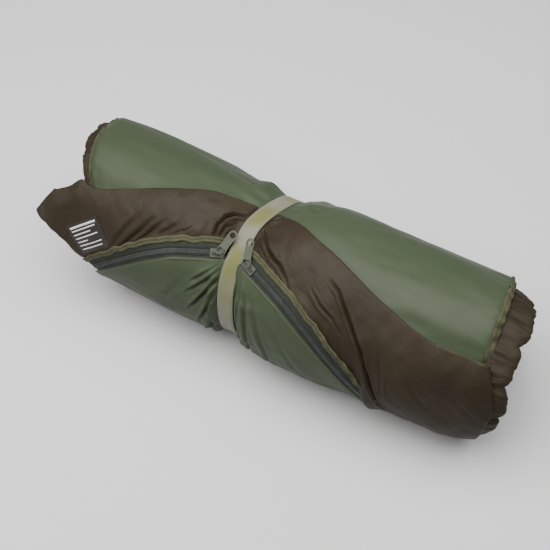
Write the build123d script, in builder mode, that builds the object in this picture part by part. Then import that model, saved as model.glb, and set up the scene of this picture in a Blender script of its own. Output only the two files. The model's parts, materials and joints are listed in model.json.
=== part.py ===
"""A bivy sack, rolled up across its length and pinched at the waist by an elastic strap.

X runs along the roll, -Y is the side that carries the zip, +Z is up and the roll lies on Z = 0.
Angles go round the roll from the top, through the front (-Y), to the underside.
"""

import math
import os

from build123d import *

# ---------------------------------------------------------------- driving dimensions, in millimetres
AXIS_Z = 108.0  # height of the roll's axis over the floor
AXIS_Y = 3.2  # the axis stands back, because the zip and the label stand proud at the front
STRAP_X = -55.0  # the strap is nearer the left end

# Along-roll distances below are measured from the strap.
LEFT_EDGE = -268.0  # side edge of the green base panel
RIGHT_EDGE = 371.0
LEFT_TIP = -302.0  # tip of the brown top panel's flap
RIGHT_TIP = 412.0
# (distance from the strap, radius) of the outermost green winding
PROFILE = [
    (-258, 107), (-220, 110), (-120, 113), (-85, 113), (-60, 111), (-45, 109), (-28, 105), (-13, 100),
    (13, 100), (28, 107), (45, 113), (60, 117), (88, 121), (120, 122), (200, 119), (300, 115), (361, 111),
]
WRAP_ENDS = [(LEFT_EDGE, 98), (RIGHT_EDGE, 100)]
FLAP_ENDS = [(LEFT_TIP, 94), (-288, 105), (394, 108), (RIGHT_TIP, 96)]

# Rolled layers
GREEN_LAYER = 7.0
BROWN_LAYER = 11.0
LAYER_GAP = 0.5
CORE_RADIUS = 13.0
GREEN_HALF_TURNS = 8
BROWN_HALF_TURNS = 7
PITCH = GREEN_LAYER + BROWN_LAYER + 2 * LAYER_GAP
WRAP_INSIDE = 91.0
PANEL_LIFT = 1.0  # inside of the flap and the lap over the green winding
PANEL_THICKNESS = 3.0
STATION_STEP = 12.0  # along the roll, between two slices of a panel

# Flap: top edge over the green winding, then its lower edge along the zip
FLAP_TOP_AT_STRAP = -15.0
LOWEST_ANGLE = 146.0

# Zip, a size 10 coil
ZIP_ANGLE = 33.0  # at the strap
ZIP_LIFT = 6.5
CHAIN_WIDTH = 10.0
CHAIN_THICKNESS = 2.4
TAPE_THICKNESS = 0.6
TAPE_EDGE = 15.0
TAPE_INNER = CHAIN_WIDTH / 2 + 0.15
BINDING_WIDTH = 4.6
BINDING_THICKNESS = 3.0
ZIP_END = 236.0
# Straight run that each slider travels on: (near end, its radius, far end, its radius)
LEFT_RUN = (-15.5, 109.5, -85.0, 120.5)
RIGHT_RUN = (16.0, 112.5, 88.0, 129.5)

# Slider and pull
SLIDER_LENGTH = 21.0
SLIDER_HEIGHT = 5.3
SLIDER_AT = 25.5
CHANNEL_WIDTH = 10.8
CHANNEL_HEIGHT = 2.9
TAPE_SLOT = 1.5
CROWN_WIDTH = 2.6
CROWN_HEIGHT = 5.5
CROWN_WINDOW = (-7.0, 0.6)  # where it is open for the pull's crossbar
CROSSBAR_X = -3.2
CROSSBAR_Z = 5.2
CROSSBAR_RADIUS = 0.85
PULL_LENGTH = 38.0
PULL_WIDTH = 12.6
PULL_WINDOW = (7.4, 10.4)
PULL_THICKNESS = 1.6
PULL_TILT = 2.0
PULL_SWIVEL = 55.0  # the crossbar stands askew under the crown
PULL_HOLE_RADIUS = 4.2
PULL_HOLE_AT = 31.0

# Strap
STRAP_WIDTH = 25.0
STRAP_INSIDE = 105.5
STRAP_THICKNESS = 1.8
LAP_ANGLE = -125.0  # where its two ends are sewn over each other, at the back
LAP_SPAN = 20.0

# Care label
LABEL_WIDTH = 60.0
LABEL_HEIGHT = 50.0
LABEL_THICKNESS = 0.6
LABEL_AT = -187.0  # the zip point that the middle of its seam faces
LABEL_ABOVE_BINDING = 5.6
LABEL_CLEAR = 1.6  # over the flap

EDGE_BINDING = 5.0  # bound side edges of the bag, at both ends of the roll
PUFF_LENGTH = 20.0

ROLL_AXIS = Axis((0, AXIS_Y, AXIS_Z), (1, 0, 0))
ROLL_SECTION = Plane(origin=(STRAP_X, AXIS_Y, AXIS_Z), x_dir=(1, 0, 0), z_dir=(0, -1, 0))


# ---------------------------------------------------------------- the roll's surface
def radius_at(x):
    """Radius of the green winding, or of the flap's inside beyond its ends, x from the strap."""
    stations = sorted(PROFILE + FLAP_ENDS)
    for (x0, r0), (x1, r1) in zip(stations, stations[1:]):
        if x0 <= x <= x1:
            return r0 + (r1 - r0) * (x - x0) / (x1 - x0)
    raise ValueError(f"{x} lies off the roll")


def outward(angle):
    a = math.radians(angle)
    return Vector(0, -math.sin(a), math.cos(a))


def at_radius(x, angle, radius):
    return Vector(STRAP_X + x, AXIS_Y, AXIS_Z) + outward(angle) * radius


def zip_angle(x):
    """The zip leaves the strap high on the front and runs down and under the roll on both sides."""
    near, far = (0.07, 0.00105) if x < 0 else (0.09, 0.00085)
    return ZIP_ANGLE + near * abs(x) + far * x * x


def flap_top(x):
    if x < 0:
        return FLAP_TOP_AT_STRAP + 0.155 * abs(x) + 0.00027 * x * x
    return min(FLAP_TOP_AT_STRAP + 0.19 * x, 40.0)


def across_zip(x, distance):
    """Angle that takes a point a distance square to the zip, at the same x."""
    step = 1.0
    slope = math.radians(zip_angle(x + step) - zip_angle(x)) / step * radius_at(x)
    return math.degrees(distance * math.hypot(1, slope) / radius_at(x))


# ---------------------------------------------------------------- frames along the zip
def run_ends(run):
    near_x, near_r, far_x, far_r = run
    return at_radius(near_x, zip_angle(near_x), near_r), at_radius(far_x, zip_angle(far_x), far_r)


def run_frame(run, distance):
    """Plane on a straight run, that far from its near end: x away from the strap, z out of the roll."""
    near, far = run_ends(run)
    along = (far - near).normalized()
    middle_angle = (zip_angle(run[0]) + zip_angle(run[2])) / 2
    normal = outward(middle_angle)
    normal = (normal - along * normal.dot(along)).normalized()
    return Plane(origin=near + along * distance, x_dir=along, z_dir=normal)


def bend_frame(x, side):
    """The same plane on the curved part beyond the run."""
    step = 2.0 * side
    along = at_radius(x + step, zip_angle(x + step), radius_at(x + step) + ZIP_LIFT) - at_radius(
        x - step, zip_angle(x - step), radius_at(x - step) + ZIP_LIFT
    )
    along = along.normalized()
    normal = outward(zip_angle(x))
    normal = (normal - along * normal.dot(along)).normalized()
    return Plane(origin=at_radius(x, zip_angle(x), radius_at(x) + ZIP_LIFT), x_dir=along, z_dir=normal)


def zip_frames(run, side, start=0.0):
    """Frames from the strap to the zip's end: the straight run, then the bend."""
    near, far = run_ends(run)
    length = (far - near).length
    frames = [run_frame(run, start), run_frame(run, length)]
    bends = 6
    first = abs(run[2])
    for i in range(1, bends + 1):
        frames.append(bend_frame(side * (first + (ZIP_END - first) * i / bends), side))
    return frames


def strip(frames, up_slope, width, height, thickness):
    """A flat strip swept along the zip; up_slope and height place its middle in each frame."""
    with BuildPart() as made:
        for frame in frames:
            # The section's own x points up the slope, away from the floor, on both sides of the strap.
            slope = frame.z_dir.cross(frame.x_dir)
            if slope.Z < 0:
                slope = -slope
            section = Plane(origin=frame.origin, x_dir=slope, z_dir=slope.cross(frame.z_dir))
            with BuildSketch(section):
                with Locations((up_slope, height)):
                    Rectangle(width, thickness)
        loft(ruled=True)
    return made.part


# ---------------------------------------------------------------- soft parts
def sector(x, top, bottom, inside, outside):
    """One annular slice of a panel, square to the roll at x."""
    section = Plane(origin=(STRAP_X + x, AXIS_Y, AXIS_Z), x_dir=(0, -1, 0), z_dir=(-1, 0, 0))
    middle = (top + bottom) / 2

    def place(angle, radius):
        a = math.radians(angle)
        return (radius * math.sin(a), radius * math.cos(a))

    with BuildSketch(section) as slice_:
        with BuildLine():
            ThreePointArc(place(top, outside), place(middle, outside), place(bottom, outside))
            Line(place(bottom, outside), place(bottom, inside))
            ThreePointArc(place(bottom, inside), place(middle, inside), place(top, inside))
            Line(place(top, inside), place(top, outside))
        make_face()
    return slice_.sketch


def panel(stations, top, bottom):
    slices = []
    for x in stations:
        inside = radius_at(x) + PANEL_LIFT
        slices.append(sector(x, top(x), bottom(x), inside, inside + PANEL_THICKNESS))
    with BuildPart() as made:
        loft(slices, ruled=True)
    return made.part


def winding(first_radius, thickness, half_turns, start, end):
    """A layer wound into a spiral of half circles, whose centres lie each side of the axis."""
    section = Plane(origin=(STRAP_X + start, AXIS_Y, AXIS_Z), x_dir=(0, 1, 0), z_dir=(1, 0, 0))
    with BuildPart() as made:
        with BuildSketch(section):
            with BuildLine():
                for edge in (-thickness / 2, thickness / 2):
                    for turn in range(half_turns):
                        centre = PITCH / 4 * (1 if turn % 2 else -1)
                        radius = first_radius + turn * PITCH / 2 + edge
                        CenterArc((centre, 0), radius, 180 * (turn % 2), 180)
                inner = first_radius - PITCH / 4
                Line((inner - thickness / 2, 0), (inner + thickness / 2, 0))
                way = 1 if half_turns % 2 == 0 else -1
                outer = way * (first_radius + (half_turns - 1) * PITCH / 2 + PITCH / 4)
                Line((outer - thickness / 2, 0), (outer + thickness / 2, 0))
            make_face()
        extrude(amount=end - start)
    return made.part


def ring(start, end, inside, outside, rounding):
    """A rounded ring about the roll's axis, cut level where it meets the floor."""
    with BuildPart() as made:
        with BuildSketch(ROLL_SECTION) as section:
            with Locations(((start + end) / 2, (inside + outside) / 2)):
                Rectangle(end - start, outside - inside)
            fillet(section.vertices(), rounding)
        revolve(axis=ROLL_AXIS)
        split(bisect_by=Plane.XY, keep=Keep.TOP)
    return made.part


def outer_winding():
    with BuildPart() as made:
        with BuildSketch(ROLL_SECTION):
            with BuildLine():
                outline = [WRAP_ENDS[0], *PROFILE, WRAP_ENDS[1]]
                Polyline(
                    *outline, (RIGHT_EDGE, WRAP_INSIDE), (LEFT_EDGE, WRAP_INSIDE), WRAP_ENDS[0]
                )
            make_face()
        revolve(axis=ROLL_AXIS)
        split(bisect_by=Plane.XY, keep=Keep.TOP)
    return made.part


# ---------------------------------------------------------------- strap and label
def strap():
    with BuildPart() as made:
        with BuildSketch(ROLL_SECTION):
            with Locations((0, STRAP_INSIDE + STRAP_THICKNESS / 2)):
                Rectangle(STRAP_WIDTH, STRAP_THICKNESS)
        revolve(axis=ROLL_AXIS)
        lap_inside = STRAP_INSIDE + STRAP_THICKNESS
        half = STRAP_WIDTH / 2
        lap_sides = (LAP_ANGLE - LAP_SPAN / 2, LAP_ANGLE + LAP_SPAN / 2)
        loft(
            [sector(x, *lap_sides, lap_inside - 0.2, lap_inside + STRAP_THICKNESS) for x in (-half, half)],
            ruled=True,
        )
    return made.part


def strap_bartacks():
    """Two dense rows of stitches across the lap."""
    inside = STRAP_INSIDE + 2 * STRAP_THICKNESS
    tacks = []
    for shift in (-0.32, 0.32):
        middle = LAP_ANGLE + shift * LAP_SPAN
        ends = (-STRAP_WIDTH * 0.4, STRAP_WIDTH * 0.4)
        with BuildPart() as tack:
            loft([sector(x, middle - 0.7, middle + 0.7, inside, inside + 0.5) for x in ends], ruled=True)
        tacks.append(tack.part)
    return Compound(children=tacks)


def label_frame():
    """Plane of the label: x along its sewn edge, y up its face, z out of the roll."""
    seam = bend_frame(LABEL_AT, -1)
    slope = seam.z_dir.cross(seam.x_dir)
    if slope.Z < 0:
        slope = -slope
    reach = TAPE_EDGE + BINDING_WIDTH + LABEL_ABOVE_BINDING + LABEL_HEIGHT / 2
    middle = seam.origin + slope * reach
    x = middle.X - STRAP_X
    angle = math.degrees(math.atan2(AXIS_Y - middle.Y, middle.Z - AXIS_Z))
    half = LABEL_HEIGHT / 2
    taper = (radius_at(x + half) - radius_at(x - half)) / LABEL_HEIGHT
    normal = (outward(angle) - Vector(1, 0, 0) * taper).normalized()
    along = (seam.x_dir - normal * seam.x_dir.dot(normal)).normalized()
    lift = PANEL_LIFT + PANEL_THICKNESS + LABEL_CLEAR
    up = normal.cross(along)
    if up.Z < 0:
        along = -along
    return Plane(origin=at_radius(x, angle, radius_at(x) + lift), x_dir=along, z_dir=normal)


def care_label():
    with BuildPart() as made:
        with BuildSketch(label_frame()):
            RectangleRounded(LABEL_WIDTH, LABEL_HEIGHT, 1.5)
        extrude(amount=LABEL_THICKNESS)
    return made.part


# ---------------------------------------------------------------- zip hardware
def slider_frame(run):
    near, far = run_ends(run)
    slope = abs(far.X - near.X) / (far - near).length
    return run_frame(run, (SLIDER_AT - abs(run[0])) / slope)


def slider_body(frame):
    """Two plates joined by a post at the mouth, which is the end next to the strap."""
    half = SLIDER_LENGTH / 2
    outline = [(half, 6.4), (-3.0, 6.4), (-7.0, 7.6), (-half, 6.2)]
    with BuildPart() as made:
        with BuildSketch(frame.offset(-SLIDER_HEIGHT / 2)) as plates:
            Polygon(*outline, *[(x, -y) for x, y in reversed(outline)], align=None)
            fillet(plates.vertices(), 1.4)
        extrude(amount=SLIDER_HEIGHT)
        face_height = SLIDER_HEIGHT / 2 - 0.01
        rims = made.edges().filter_by(lambda e: abs(frame.to_local_coords(e.center()).Z) > face_height)
        fillet(rims, 0.7)
        with BuildSketch(frame.offset(-CHANNEL_HEIGHT / 2)):
            Rectangle(SLIDER_LENGTH + 2, CHANNEL_WIDTH)
        extrude(amount=CHANNEL_HEIGHT, mode=Mode.SUBTRACT)
        with BuildSketch(frame.offset(-TAPE_SLOT / 2)):
            Rectangle(SLIDER_LENGTH + 2, 4 * CHANNEL_WIDTH)
        extrude(amount=TAPE_SLOT, mode=Mode.SUBTRACT)
        with BuildSketch(frame.offset(-CHANNEL_HEIGHT / 2 - 0.3)):
            with Locations((-half + 3.2, 0)):
                Ellipse(2.6, 1.9)
        extrude(amount=CHANNEL_HEIGHT + 0.6)
    return made.part


def side_plane(frame):
    """Plane through the slider's middle: x along the zip, y out of the roll."""
    return Plane(origin=frame.origin, x_dir=frame.x_dir, z_dir=frame.x_dir.cross(frame.z_dir))


def slider_crown(frame):
    """The bridge over the pull's crossbar, which runs down to the slider's tail."""
    foot = SLIDER_HEIGHT / 2
    top = foot + CROWN_HEIGHT
    near_side = [(-8.3, foot), (-8.3, top - 1.0), (-7.3, top)]
    far_side = [(0.5, top), (7.5, foot + 1.4), (7.5, foot)]
    with BuildPart() as made:
        with BuildSketch(side_plane(frame)):
            with BuildLine():
                Polyline(*near_side, *far_side, close=True)
            make_face()
            with Locations((sum(CROWN_WINDOW) / 2, foot + 2.1)):
                Rectangle(CROWN_WINDOW[1] - CROWN_WINDOW[0], 4.4, mode=Mode.SUBTRACT)
        extrude(amount=CROWN_WIDTH / 2, both=True)
        roof_edges = made.edges().filter_by(lambda e: frame.to_local_coords(e.center()).Z > top - 0.01)
        fillet(roof_edges, 0.5)
    return made.part


def lock_spring(frame):
    """The leaf spring of the slider's lock, flat under the crown's roof."""
    roof = SLIDER_HEIGHT / 2 + 4.3
    with BuildPart() as made:
        with BuildSketch(frame.offset(roof - 0.4)):
            with Locations((sum(CROWN_WINDOW) / 2, 0)):
                Rectangle(CROWN_WINDOW[1] - CROWN_WINDOW[0], 1.8)
        extrude(amount=0.4)
    return made.part


def pull_frame(frame, swivel):
    """Plane of a pull at rest: origin in its crossbar, x along the pull, z off the roll."""
    slope = frame.z_dir.cross(frame.x_dir)
    if slope.Z < 0:
        slope = -slope
    turn = math.radians(swivel)
    flat = frame.x_dir * -math.cos(turn) + slope * math.sin(turn)
    tilt = math.radians(PULL_TILT)
    along = flat * math.cos(tilt) - frame.z_dir * math.sin(tilt)
    normal = flat * math.sin(tilt) + frame.z_dir * math.cos(tilt)
    origin = frame.origin + frame.x_dir * CROSSBAR_X + frame.z_dir * CROSSBAR_Z
    return Plane(origin=origin, x_dir=along, z_dir=normal)


def pull(frame):
    """A flat pull with a window for the crown, a round end and a cord hole."""
    half = PULL_WIDTH / 2
    with BuildPart() as made:
        with BuildSketch(frame.offset(-PULL_THICKNESS / 2)):
            with BuildLine():
                straight = PULL_LENGTH - half
                edge = [(straight, half), (13.0, half - 0.6), (8.0, half), (-0.8, half)]
                Polyline(*edge, *[(x, -y) for x, y in reversed(edge)])
                ThreePointArc((straight, -half), (PULL_LENGTH, 0), (straight, half))
            make_face()
            with Locations((0.9 + PULL_WINDOW[0] / 2, 0)):
                RectangleRounded(*PULL_WINDOW, 0.8, mode=Mode.SUBTRACT)
        extrude(amount=PULL_THICKNESS)
        edges = made.edges().filter_by(lambda e: frame.to_local_coords(e.center()).X > 13.5)
        fillet(edges, 0.35)
        with BuildSketch(frame.offset(-PULL_THICKNESS / 2)):
            with Locations((PULL_HOLE_AT, 0)):
                Circle(PULL_HOLE_RADIUS)
        extrude(amount=PULL_THICKNESS, mode=Mode.SUBTRACT)
        across = frame.z_dir.cross(frame.x_dir)
        with BuildSketch(Plane(origin=frame.origin - across * 6.0, x_dir=frame.x_dir, z_dir=across)):
            Circle(CROSSBAR_RADIUS)
        extrude(amount=12.0)
    return made.part


def stations_between(start, end):
    """Every corner of the roll's profile, with more stations in its long stretches."""
    corners = sorted({start, end, *(x for x, _ in PROFILE + FLAP_ENDS if start < x < end)})
    stations = [corners[0]]
    for x0, x1 in zip(corners, corners[1:]):
        count = math.ceil((x1 - x0) / STATION_STEP)
        stations += [x0 + (x1 - x0) * i / count for i in range(1, count + 1)]
    return stations


# ---------------------------------------------------------------- build and write every piece
flap_stations = stations_between(LEFT_TIP, RIGHT_TIP)
lap_stations = stations_between(-ZIP_END, ZIP_END)


def flap_bottom(x):
    return min(zip_angle(x) - across_zip(x, TAPE_EDGE - 1.5), LOWEST_ANGLE)


def lap_top(x):
    return min(zip_angle(x) + across_zip(x, TAPE_EDGE - 1.5), LOWEST_ANGLE - 4)


BINDING_AT = TAPE_EDGE + BINDING_WIDTH / 2 + 0.2
TAPE_AT = (TAPE_INNER + TAPE_EDGE) / 2
TAPE_WIDTH = TAPE_EDGE - TAPE_INNER
pieces = {
    "base_panel_outer_winding": outer_winding(),
    "base_panel_inner_windings": winding(
        CORE_RADIUS, GREEN_LAYER, GREEN_HALF_TURNS, LEFT_EDGE + 6, RIGHT_EDGE - 6
    ),
    "top_panel_inner_windings": winding(
        CORE_RADIUS + PITCH / 2, BROWN_LAYER, BROWN_HALF_TURNS, LEFT_EDGE - 8, RIGHT_EDGE + 12
    ),
    "top_panel_flap": panel(flap_stations, flap_top, flap_bottom),
    "base_panel_lap": panel(lap_stations, lap_top, lambda x: LOWEST_ANGLE),
    "elastic_strap": strap(),
    "strap_bartacks": strap_bartacks(),
    "care_label": care_label(),
}
for side, edge, way in (("left", LEFT_EDGE, -1), ("right", RIGHT_EDGE, 1)):
    inner, outer = sorted((edge + way * 0.3, edge + way * EDGE_BINDING))
    pieces[f"edge_binding_{side}"] = ring(inner, outer, 93.0, 103.0, 2.0)
    inner, outer = sorted((edge + way * (EDGE_BINDING + 0.3), edge + way * (EDGE_BINDING + PUFF_LENGTH)))
    pieces[f"top_panel_edge_{side}"] = ring(inner, outer, 91.0, 105.0, 6.0)

tapes = {"upper": [], "lower": []}
bindings = []
for side, run, way in (("left", LEFT_RUN, -1), ("right", RIGHT_RUN, 1)):
    body = slider_frame(run)
    frames = zip_frames(run, way)
    post_clear = (body.origin - frames[0].origin).length - SLIDER_LENGTH / 2 + 6.0
    chain = zip_frames(run, way, start=post_clear)
    tapes["upper"].append(strip(frames, TAPE_AT, TAPE_WIDTH, 0, TAPE_THICKNESS))
    tapes["lower"].append(strip(frames, -TAPE_AT, TAPE_WIDTH, 0, TAPE_THICKNESS))
    bindings.append(strip(frames, BINDING_AT, BINDING_WIDTH, BINDING_THICKNESS / 2, BINDING_THICKNESS))
    pieces[f"zip_chain_{side}"] = strip(chain, 0, CHAIN_WIDTH, 0, CHAIN_THICKNESS)
    pieces[f"slider_body_{side}"] = slider_body(body)
    pieces[f"slider_crown_{side}"] = slider_crown(body)
    pieces[f"slider_lock_spring_{side}"] = lock_spring(body)
    hinge = pull_frame(body, PULL_SWIVEL)
    pieces[f"pull_tab_{side}"] = pull(hinge)
    turn_axis = hinge.x_dir.cross(hinge.z_dir)
    hole = hinge.origin + hinge.x_dir * PULL_HOLE_AT
    print(side, "slide axis", body.x_dir, "hinge", hinge.origin, "axis", turn_axis)
    print(side, "pull hole", hole, "axis", hinge.z_dir)
for row, solids in tapes.items():
    pieces[f"zip_tape_{row}"] = Compound(children=solids)
pieces["zip_seam_binding"] = Compound(children=bindings)
label = label_frame()
label_up = label.z_dir.cross(label.x_dir)
sewn_edge = label.origin - label_up * (LABEL_HEIGHT / 2) + label.z_dir * (LABEL_THICKNESS / 2)
print("label seam", sewn_edge, "axis", label.x_dir)

os.makedirs("parts", exist_ok=True)
for name, piece in pieces.items():
    piece.label = name
    export_step(piece, f"parts/{name}.step")
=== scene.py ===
"""A rolled bivy sack: the fabrics, the zip, the strap and the label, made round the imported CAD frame.

Distances along the roll (x) are in millimetres from the middle of the strap. Angles are in degrees round it,
from its top, through the front (-Y), to the underside. Meshes are in metres, in the row's frame.
"""

import json
import math

import bpy
import numpy as np
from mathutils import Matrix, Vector


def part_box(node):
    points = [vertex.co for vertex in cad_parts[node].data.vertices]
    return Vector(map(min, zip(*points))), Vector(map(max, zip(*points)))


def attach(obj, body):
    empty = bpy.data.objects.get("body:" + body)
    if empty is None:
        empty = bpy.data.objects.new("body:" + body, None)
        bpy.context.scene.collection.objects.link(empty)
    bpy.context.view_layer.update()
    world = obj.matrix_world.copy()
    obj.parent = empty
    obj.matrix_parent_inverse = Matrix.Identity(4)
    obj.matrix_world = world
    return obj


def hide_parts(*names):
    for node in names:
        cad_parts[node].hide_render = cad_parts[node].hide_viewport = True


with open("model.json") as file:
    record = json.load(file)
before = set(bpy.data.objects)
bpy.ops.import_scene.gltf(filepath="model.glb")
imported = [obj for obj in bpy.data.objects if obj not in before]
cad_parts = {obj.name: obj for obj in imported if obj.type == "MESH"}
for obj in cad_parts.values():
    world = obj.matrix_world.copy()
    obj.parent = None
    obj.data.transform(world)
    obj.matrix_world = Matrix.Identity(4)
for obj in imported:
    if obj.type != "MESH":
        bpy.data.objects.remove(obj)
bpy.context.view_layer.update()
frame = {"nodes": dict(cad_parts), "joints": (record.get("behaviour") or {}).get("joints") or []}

MM = 0.001
strap_low, strap_high = (np.array(corner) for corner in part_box("elastic_strap"))
ROLL_AXIS = (strap_low + strap_high) / 2
LAYER_R = 115.0  # the radius at which folds and ripples are laid out

# The roll, as in the CAD model: (x, radius) of the green winding
PROFILE = [
    (-330, 98), (-306, 103), (-288, 106), (-258, 107), (-220, 110), (-120, 113), (-85, 113), (-60, 111),
    (-45, 109), (-28, 105), (-13, 100), (13, 100), (28, 107), (45, 113), (60, 117), (88, 121), (120, 122),
    (200, 119), (300, 115), (361, 111), (394, 108), (420, 103),
]
LEFT_EDGE, RIGHT_EDGE = -268.0, 371.0
ENDS = {"left": (-1, LEFT_EDGE), "right": (1, RIGHT_EDGE)}  # (way out along x, place of the green edge)
BEND_BACK, BEND_AT = 11.0, 350.0  # the roll lies this much further back, that far from its waist
LOWEST_ANGLE = 150.0

# The zip, as in the CAD model
ZIP_ANGLE = 33.0
ZIP_LIFT = 6.5
ZIP_ENDS = {"left": 216.0, "right": 236.0}
TAPE_EDGE = 15.0
RUNS = {"left": (-15.5, 109.5, -85.0, 120.5), "right": (16.0, 112.5, 88.0, 129.5)}


# ---- numbers
def smooth(t):
    t = np.clip(t, 0, 1)
    return t * t * (3 - 2 * t)


def ramp(value, start, end):
    return smooth((value - start) / (end - start))


def hill(value, centre, width):
    return np.exp(-(((value - centre) / width) ** 2))


def stack(*parts):
    """Arrays side by side along a new last axis."""
    return np.stack(np.broadcast_arrays(*parts), axis=-1)


WAVES = 14  # summed into each set of wrinkles


def ripples(a, b, size, seed, stretch=1.0):
    """Smooth wrinkles of about unit height over a flat sheet; stretch draws them out along a."""
    rng = np.random.default_rng(seed)
    total = 0
    for _ in range(WAVES):
        turn, phase = rng.uniform(0, 2 * math.pi, 2)
        k = 2 * math.pi / (size * rng.uniform(0.6, 1.6))
        total = total + np.sin(k * (a * math.cos(turn) / stretch + b * math.sin(turn)) + phase)
    return total / math.sqrt(WAVES / 2)


def rounded(values, sigma):
    """A profile sampled every millimetre, with its corners rounded."""
    reach = int(3 * sigma)
    kernel = np.exp(-0.5 * (np.arange(-reach, reach + 1) / sigma) ** 2)
    return np.convolve(np.pad(values, reach, mode="edge"), kernel / kernel.sum(), mode="valid")


def girth(angle):
    """Distance round the roll, in millimetres, at the radius where folds are laid out."""
    return np.radians(angle) * LAYER_R


def wrinkles(x, angle, size, seed, stretch=1.0):
    return ripples(x, girth(angle), size, seed, stretch)


PROFILE_X = np.arange(PROFILE[0][0], PROFILE[-1][0] + 1.0)
PROFILE_R = rounded(np.interp(PROFILE_X, *zip(*PROFILE)), 7)


def radius(x):
    return np.interp(x, PROFILE_X, PROFILE_R)


# ---- the roll's surface
SOFT = 4.0  # height over the floor where what rests on it begins to flatten


def bend(x):
    return BEND_BACK * (x / BEND_AT) ** 2 * ramp(np.abs(x), 60, 200)


def place(x, angle, r, floor=1.0):
    """Points in metres, from millimetres and degrees.

    What would sink below that height over the floor lies flat on it; inner layers rest higher.
    """
    a = np.radians(angle)
    z = ROLL_AXIS[2] / MM + r * np.cos(a)
    z = np.where(z > floor + SOFT, z, floor + SOFT * np.exp(np.minimum((z - floor - SOFT) / SOFT, 0)))
    return stack(ROLL_AXIS[0] / MM + x, ROLL_AXIS[1] / MM - r * np.sin(a) + bend(x), z) * MM


def polar(points):
    """(x, angle, radius) of points in metres."""
    d = points / MM - ROLL_AXIS / MM
    y = d[..., 1] - bend(d[..., 0])
    return d[..., 0], np.degrees(np.arctan2(-y, d[..., 2])), np.hypot(y, d[..., 2])


def cloth_uvs(x, angle):
    """Cloth coordinates in metres: along the roll and round it."""
    return stack(x, girth(angle)) * MM


def crease(x, angle, points, width, depth):
    """One fold along points of (x, angle): a valley of that depth with a lower ridge beside it."""
    a, b = x, girth(angle)
    line = [(px, girth(pa)) for px, pa in points]
    lengths = [math.dist(p, q) for p, q in zip(line, line[1:])]
    total, before = sum(lengths), 0.0
    best = np.full(np.shape(a), 1e9)
    side = np.zeros(np.shape(a))
    along = np.zeros(np.shape(a))
    for (p, q), length in zip(zip(line, line[1:]), lengths):
        dx, dy = (q[0] - p[0]) / length, (q[1] - p[1]) / length
        t = np.clip((a - p[0]) * dx + (b - p[1]) * dy, 0, length)
        off_x, off_y = a - p[0] - t * dx, b - p[1] - t * dy
        away = np.hypot(off_x, off_y)
        near = away < best
        best = np.where(near, away, best)
        side = np.where(near, np.sign(dx * off_y - dy * off_x), side)
        along = np.where(near, (before + t) / total, along)
        before += length
    fade = np.sqrt(np.clip(np.sin(np.pi * np.clip(along, 0.02, 0.98)), 0, 1))
    valley = -0.55 * hill(best, 0, width) - 0.45 * np.exp(-best / (0.9 * width))
    off = best * side / width
    ridge = 0.5 * hill(off, 1.8, 1.3) + 0.25 * hill(off, -2.0, 1.2)
    return depth * fade * (valley + ridge)


def creases(x, angle, folds):
    return sum(crease(x, angle, *fold) for fold in folds)


DEGREES = np.arange(-180.0, 180.0)


def ring(points, sigma):
    """A value at every degree round the roll, from points of (angle, value), with its turns eased."""
    past = 40
    values = np.interp(np.arange(-180.0 - past, 180.0 + past), *zip(*points), period=360)
    return rounded(values, sigma)[past:-past]


def on_ring(angle, values):
    return np.interp(angle, DEGREES, values, period=360)


STRAP_LINE = ring([
    (-170, 9), (-120, 13), (-60, 17), (-31, 16), (-16, 10), (-3, 4), (8, 0), (25, 0.8), (48, -0.3),
    (57, 0.6), (75, 4.5), (90, 8), (140, 8), (170, 8.5),
], 5)


def strap_middle(angle):
    """Where the strap's centre line lies along the roll: it slants, and leans over at the top."""
    return on_ring(angle, STRAP_LINE)


def waist(x, angle):
    """Distance along the roll from the strap, so that what the strap pinches follows its slant."""
    return x - strap_middle(angle) * np.exp(-((x / 90) ** 4))


def strap_pinch(x):
    """1 beside the strap, fading away from it, and 0 under it."""
    away = np.abs(x)
    return ramp(away, 12, 22) * np.exp(-np.maximum(away - 22, 0) / 38)


def gathers(x, angle, seed, amount):
    """Folds that run out from the strap like a drawn bag's neck: three waves round the roll."""
    wander = 5 * wrinkles(x, angle, 120, seed + 1)
    a = np.radians(angle + wander * ramp(np.abs(x), 15, 90))
    fan = 0.5 * np.sin(23 * a + 0.8) + 0.8 * np.sin(15 * a + 2.1 + 0.02 * x) + 0.45 * np.sin(31 * a + 4.4)
    return amount * strap_pinch(waist(x, angle)) * fan


# ---- the zip's path
def zip_angle(x):
    near, far = np.where(x < 0, 0.07, 0.09), np.where(x < 0, 0.00105, 0.00085)
    return ZIP_ANGLE + near * np.abs(x) + far * x * x


def outward(angle):
    a = np.radians(angle)
    return stack(0.0, -np.sin(a), np.cos(a))


def unit(v):
    return v / np.linalg.norm(v, axis=-1, keepdims=True)


def straight(x, angle, r):
    """A point of the CAD frame, which has no bend."""
    return (ROLL_AXIS / MM + np.array([x, 0, 0]) + outward(angle) * r) * MM


def lengths_along(line):
    """Distance from the start of a line of points to each of them."""
    return np.concatenate([[0], np.cumsum(np.linalg.norm(np.diff(line, axis=0), axis=1))])


def points_at(where, steps, values):
    return stack(*(np.interp(where, steps, column) for column in values.T))


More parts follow.
